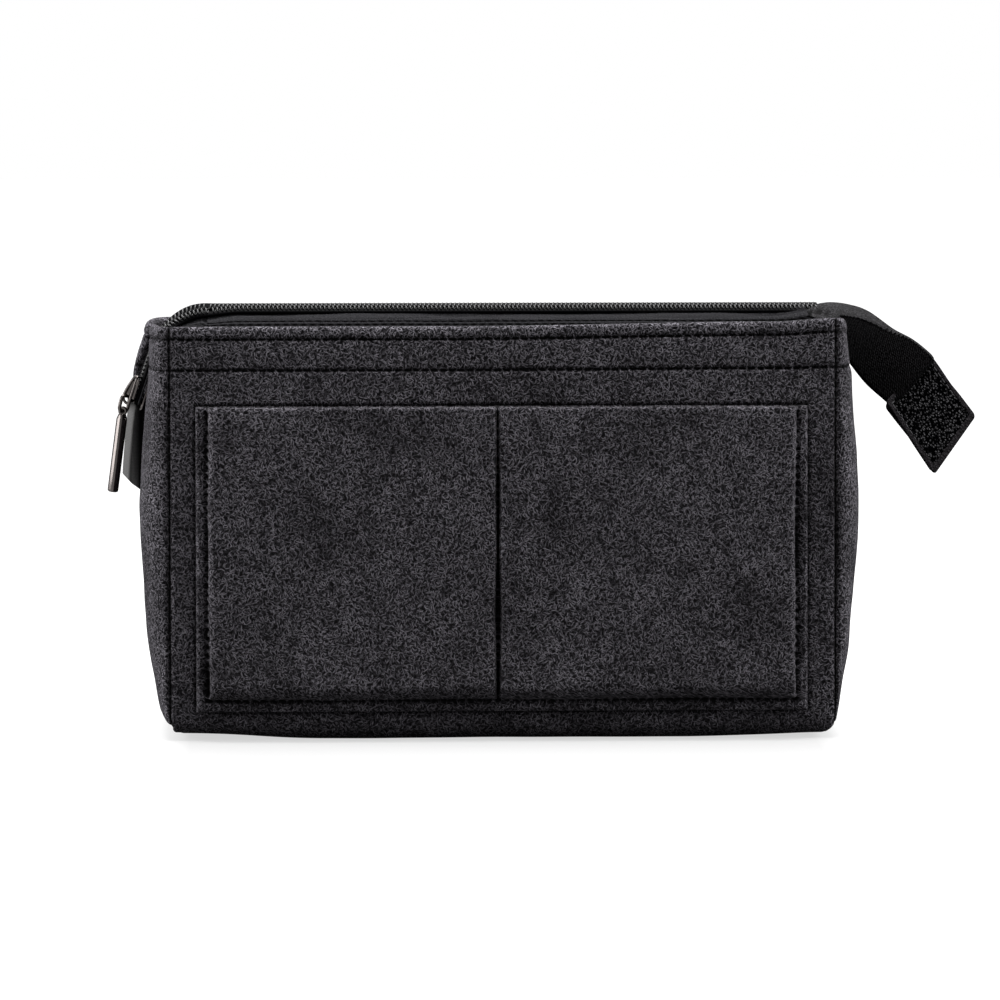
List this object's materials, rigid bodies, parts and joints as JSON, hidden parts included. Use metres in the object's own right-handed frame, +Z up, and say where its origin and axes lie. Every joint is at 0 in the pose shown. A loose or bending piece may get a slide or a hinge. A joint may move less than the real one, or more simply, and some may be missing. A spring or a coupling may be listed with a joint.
{
  "type": "zipped felt organizer pouch",
  "caption": "Boxy felt organizer pouch with bulging end gussets, slip pockets inside and out, and a coil zipper that turns down one end and runs past the other to a stitched leatherette tab.",
  "frame": {"origin": "on the floor under the middle of the flat base", "axes": "+X along the zipper towards the tab end, +Y from the front face to the rear face, +Z up"},
  "size_m": [0.3085, 0.0908, 0.15],
  "materials": {
    "felt": "heathered charcoal wool felt, matte",
    "tape": "black woven zipper tape, matte",
    "coil": "black moulded coil, satin",
    "gunmetal": "polished dark gunmetal",
    "leatherette": "black pebbled leatherette, satin"
  },
  "bodies": {
    "pouch": {"front_panel": "felt", "rear_panel": "felt", "base_panel": "felt", "gusset_left": "felt", "gusset_right": "felt", "outer_pocket_front": "felt", "outer_pocket_rear": "felt", "inner_pocket_front": "felt", "inner_pocket_rear": "felt", "hem_facing_front": "felt", "hem_facing_rear": "felt", "corner_tape_front": "tape", "corner_tape_rear": "tape", "corner_chain_front": "coil", "corner_chain_rear": "coil", "zip_end_flap": "tape"},
    "band_front": {"zip_band_front": "tape", "zip_chain_front": "coil"},
    "band_rear": {"zip_band_rear": "tape", "zip_chain_rear": "coil"},
    "slider": {"zip_slider": "gunmetal"},
    "link": {"pull_link": "gunmetal"},
    "bar": {"pull_bar": "gunmetal"},
    "tail": {"zip_tail": "tape", "tab_upper_leaf": "leatherette", "tab_lower_leaf": "leatherette"}
  },
  "joints": [
    {"name": "mouth_front", "type": "hinge", "parent": "pouch", "child": "band_front", "pos_m": [0, -0.0286, 0.1423], "axis": [1, 0, 0], "range_deg": [0, 70]},
    {"name": "mouth_rear", "type": "hinge", "parent": "pouch", "child": "band_rear", "pos_m": [0, 0.0286, 0.1423], "axis": [-1, 0, 0], "range_deg": [0, 70]},
    {"name": "slider_slide", "type": "slide", "parent": "pouch", "child": "slider", "axis": [0.3223, 0, 0.9466], "range_m": [0, 0.006], "deforming": ["corner_chain_front", "corner_chain_rear"]},
    {"name": "link_swing", "type": "hinge", "parent": "slider", "child": "link", "pos_m": [-0.13035, 0, 0.11678], "axis": [0, 1, 0], "range_deg": [0, 95]},
    {"name": "bar_swing", "type": "hinge", "parent": "link", "child": "bar", "pos_m": [-0.13156, 0, 0.11172], "axis": [0, 1, 0], "range_deg": [0, 70]},
    {"name": "tail_lift", "type": "hinge", "parent": "pouch", "child": "tail", "pos_m": [0.1086, 0, 0.1476], "axis": [0, -1, 0], "range_deg": [0, 45]}
  ],
  "couplings": [
    {"joint": "mouth_rear", "follows": "mouth_front", "ratio": 1}
  ]
}
